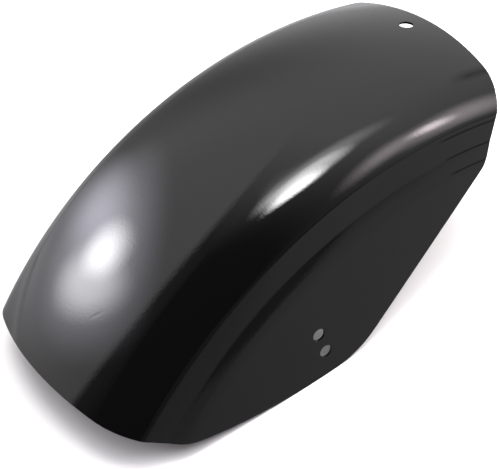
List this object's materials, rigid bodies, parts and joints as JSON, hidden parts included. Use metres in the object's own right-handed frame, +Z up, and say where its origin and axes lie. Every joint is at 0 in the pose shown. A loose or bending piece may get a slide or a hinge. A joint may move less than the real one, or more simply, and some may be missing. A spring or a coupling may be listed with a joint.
{
  "type": "motorcycle rear fender",
  "caption": "Short arched steel rear fender for a motorcycle wheel, with rounded shoulders, a pressed step along each side, flat skirts with bolt holes and a bolt hole in the crown.",
  "frame": {"origin": "middle of the footprint, on the ground under the skirt hems", "axes": "+X towards the front end of the fender, +Y to the left side as seen from the rider, +Z up"},
  "size_m": [0.3418, 0.1992, 0.1516],
  "materials": {
    "paint": "gloss black paint"
  },
  "bodies": {
    "root": {"rear_fender": "paint"}
  },
  "joints": []
}
